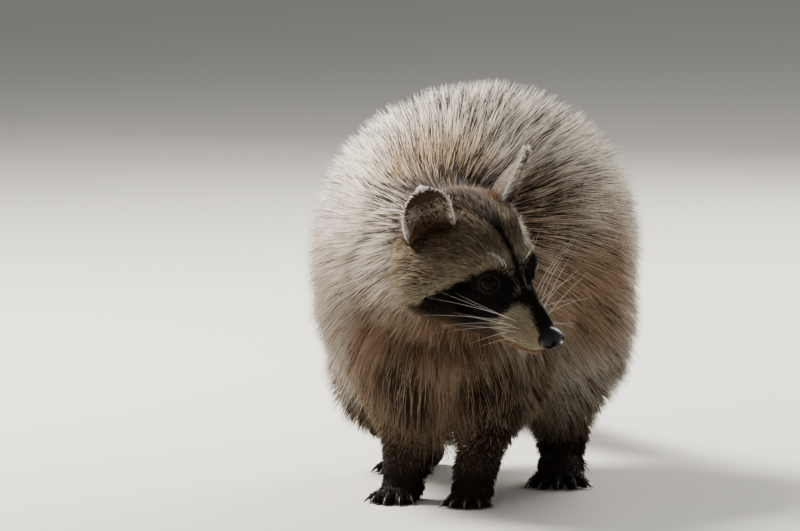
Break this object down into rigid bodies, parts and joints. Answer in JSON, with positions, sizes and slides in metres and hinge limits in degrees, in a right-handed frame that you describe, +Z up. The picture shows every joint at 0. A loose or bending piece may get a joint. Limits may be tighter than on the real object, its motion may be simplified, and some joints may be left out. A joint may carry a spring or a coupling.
{
  "type": "raccoon",
  "caption": "Life-size raccoon standing on four feet, back arched, head lowered and turned to its left, ringed tail trailing behind.",
  "frame": {"origin": "middle of the box on the floor, under the belly", "axes": "+Z up from the floor, -Y the way the trunk faces, +X the animal's left side"},
  "size_m": [0.2372, 0.724, 0.2892],
  "materials": {
    "coat_grizzled": "soft grizzled guard hair over brown underfur",
    "coat_dark": "short dark brown hair",
    "coat_pale": "pale cream hair",
    "ear": "thin leaf of skin with short hair and a pale rim",
    "foot": "dark skin with very short hair",
    "eye": "wet, very dark brown",
    "nose": "moist black pebbled skin",
    "claw": "dark horn, satin"
  },
  "bodies": {
    "root": {"chest": "coat_grizzled", "abdomen": "coat_grizzled", "hindquarters": "coat_grizzled", "neck": "coat_grizzled", "head": "coat_grizzled", "lower_jaw": "coat_pale", "eye_left": "eye", "ear_left": "ear", "eye_right": "eye", "ear_right": "ear", "nose": "nose", "tail_band_1": "coat_pale", "tail_band_2": "coat_dark", "tail_band_3": "coat_pale", "tail_band_4": "coat_dark", "tail_band_5": "coat_pale", "tail_band_6": "coat_dark", "tail_band_7": "coat_pale", "tail_band_8": "coat_dark", "tail_band_9": "coat_pale", "foreleg_upper_left": "coat_grizzled", "foreleg_lower_left": "coat_dark", "hindleg_upper_left": "coat_grizzled", "hindleg_lower_left": "coat_dark", "forepaw_left": "foot", "hindpaw_left": "foot", "foreleg_upper_right": "coat_grizzled", "foreleg_lower_right": "coat_dark", "hindleg_upper_right": "coat_grizzled", "hindleg_lower_right": "coat_dark", "forepaw_right": "foot", "hindpaw_right": "foot"}
  },
  "joints": []
}
